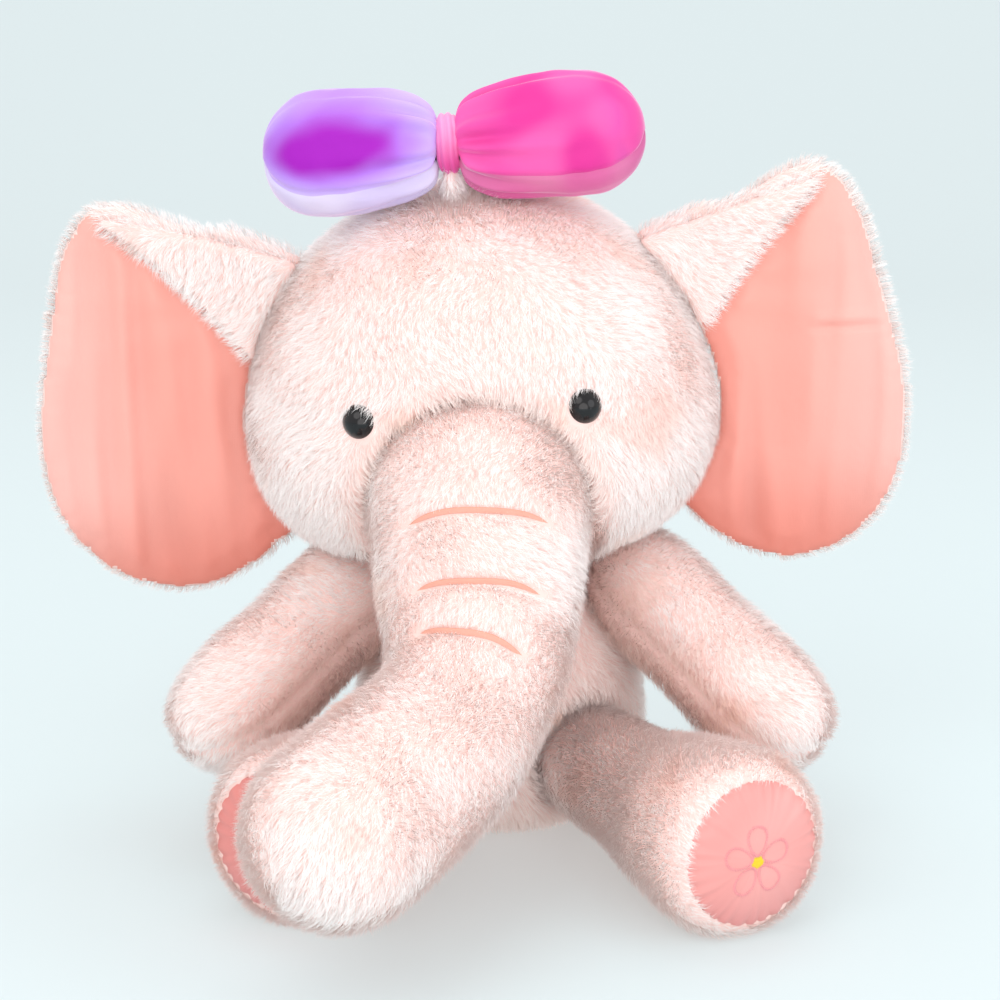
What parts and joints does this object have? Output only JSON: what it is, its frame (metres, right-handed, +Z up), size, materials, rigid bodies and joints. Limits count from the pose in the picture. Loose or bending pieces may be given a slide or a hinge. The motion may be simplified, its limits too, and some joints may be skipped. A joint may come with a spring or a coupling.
{
  "type": "stuffed elephant",
  "caption": "Seated plush elephant with broad satin-lined ears, a long drooping trunk, satin sole pads and a padded velvet bow on its head.",
  "frame": {"origin": "centre of the flat seat under the body", "axes": "+Z up, the face looks along -Y, the elephant's own left is at +X"},
  "size_m": [0.4569, 0.3879, 0.4007],
  "materials": {
    "fur": "long soft pile",
    "satin": "soft sheen",
    "velvet_violet": "short velvet pile",
    "velvet_lilac": "short velvet pile",
    "velvet_pink": "short velvet pile",
    "thread": "spun thread",
    "yellow_thread": "spun thread",
    "stuffing": "loose fibre",
    "eye_plastic": "polished",
    "washer_plastic": "moulded",
    "label_ribbon": "woven ribbon"
  },
  "bodies": {
    "torso": {"belly_panel": "fur", "back_panel": "fur", "body_filling": "stuffing", "closing_stitches": "thread", "care_label": "label_ribbon"},
    "neck": {"neck_thread": "thread"},
    "head": {"head_left_panel": "fur", "head_right_panel": "fur", "head_filling": "stuffing", "eye_left": "eye_plastic", "eye_right": "eye_plastic", "eye_washer_left": "washer_plastic", "eye_washer_right": "washer_plastic", "knot_band": "velvet_pink", "knot_core": "velvet_pink", "bow_shank": "thread"},
    "trunk_upper": {"trunk_upper_left_panel": "fur", "trunk_upper_right_panel": "fur", "trunk_upper_filling": "stuffing", "trunk_crease_1": "satin", "trunk_crease_2": "satin", "trunk_crease_3": "satin"},
    "trunk_tip": {"trunk_tip_left_panel": "fur", "trunk_tip_right_panel": "fur", "trunk_tip_filling": "stuffing"},
    "tail": {"tail": "fur", "tail_tuft": "fur"},
    "ear_left": {"ear_back_left": "fur", "ear_wadding_left": "stuffing", "ear_lining_left": "satin", "ear_fold_left": "fur"},
    "bow_left": {"bow_upper_left": "velvet_pink", "bow_under_left": "velvet_pink", "bow_filling_left": "stuffing"},
    "arm_left": {"arm_left_inner_panel": "fur", "arm_left_outer_panel": "fur", "arm_left_filling": "stuffing"},
    "leg_left": {"leg_left_top_panel": "fur", "leg_left_under_panel": "fur", "leg_left_filling": "stuffing", "sole_pad_left": "satin", "sole_flower": "thread", "sole_flower_heart": "yellow_thread"},
    "ear_right": {"ear_back_right": "fur", "ear_wadding_right": "stuffing", "ear_lining_right": "satin", "ear_fold_right": "fur"},
    "bow_right": {"bow_upper_right": "velvet_violet", "bow_under_right": "velvet_lilac", "bow_filling_right": "stuffing"},
    "arm_right": {"arm_right_inner_panel": "fur", "arm_right_outer_panel": "fur", "arm_right_filling": "stuffing"},
    "leg_right": {"leg_right_top_panel": "fur", "leg_right_under_panel": "fur", "leg_right_filling": "stuffing", "sole_pad_right": "satin"}
  },
  "joints": [
    {"name": "neck_turn", "type": "hinge", "parent": "torso", "child": "neck", "pos_m": [-0.003, 0, 0.128], "axis": [0, 0, 1], "range_deg": [0, 14], "stiffness_Nm_per_rad": 1.5},
    {"name": "head_nod", "type": "hinge", "parent": "neck", "child": "head", "pos_m": [-0.003, 0, 0.128], "axis": [-1, 0, 0], "range_deg": [0, 12], "stiffness_Nm_per_rad": 4},
    {"name": "trunk_lift", "type": "hinge", "parent": "head", "child": "trunk_upper", "pos_m": [-0.011, -0.078, 0.188], "axis": [-1, 0, 0], "range_deg": [0, 18], "stiffness_Nm_per_rad": 0.8},
    {"name": "trunk_curl", "type": "hinge", "parent": "trunk_upper", "child": "trunk_tip", "pos_m": [-0.01, -0.162, 0.107], "axis": [-0.8083, 0.5887, 0], "range_deg": [0, 15], "stiffness_Nm_per_rad": 0.4},
    {"name": "ear_left_flap", "type": "hinge", "parent": "head", "child": "ear_left", "pos_m": [0.107, 0.00388, 0.23697], "axis": [-0.0785, 0, 0.9969], "range_deg": [-10, 10], "stiffness_Nm_per_rad": 0.3},
    {"name": "ear_right_flap", "type": "hinge", "parent": "head", "child": "ear_right", "pos_m": [-0.12813, 0.01211, 0.21846], "axis": [-0.0785, 0, 0.9969], "range_deg": [-10, 10], "stiffness_Nm_per_rad": 0.3},
    {"name": "bow_left_lift", "type": "hinge", "parent": "head", "child": "bow_left", "pos_m": [-0.01939, -0.02709, 0.36244], "axis": [-0.0348, -0.9994, -0.0027], "range_deg": [0, 12], "stiffness_Nm_per_rad": 0.15},
    {"name": "bow_right_lift", "type": "hinge", "parent": "head", "child": "bow_right", "pos_m": [-0.03334, -0.0266, 0.36134], "axis": [0.0348, 0.9994, 0.0027], "range_deg": [0, 12], "stiffness_Nm_per_rad": 0.15},
    {"name": "arm_left_raise", "type": "hinge", "parent": "torso", "child": "arm_left", "pos_m": [0.073, -0.012, 0.126], "axis": [-1, 0, 0], "range_deg": [0, 16], "stiffness_Nm_per_rad": 0.2},
    {"name": "arm_right_raise", "type": "hinge", "parent": "torso", "child": "arm_right", "pos_m": [-0.073, -0.012, 0.126], "axis": [-1, 0, 0], "range_deg": [0, 16], "stiffness_Nm_per_rad": 0.2},
    {"name": "leg_left_lift", "type": "hinge", "parent": "torso", "child": "leg_left", "pos_m": [0.047, -0.049, 0.038], "axis": [-0.8839, -0.4676, 0], "range_deg": [0, 8], "stiffness_Nm_per_rad": 1},
    {"name": "leg_right_lift", "type": "hinge", "parent": "torso", "child": "leg_right", "pos_m": [-0.047, -0.043, 0.038], "axis": [-0.9155, 0.4023, 0], "range_deg": [0, 4], "stiffness_Nm_per_rad": 1},
    {"name": "tail_swing", "type": "hinge", "parent": "torso", "child": "tail", "pos_m": [0, 0.073, 0.078], "axis": [0, 1, 0], "range_deg": [-20, 20]}
  ]
}
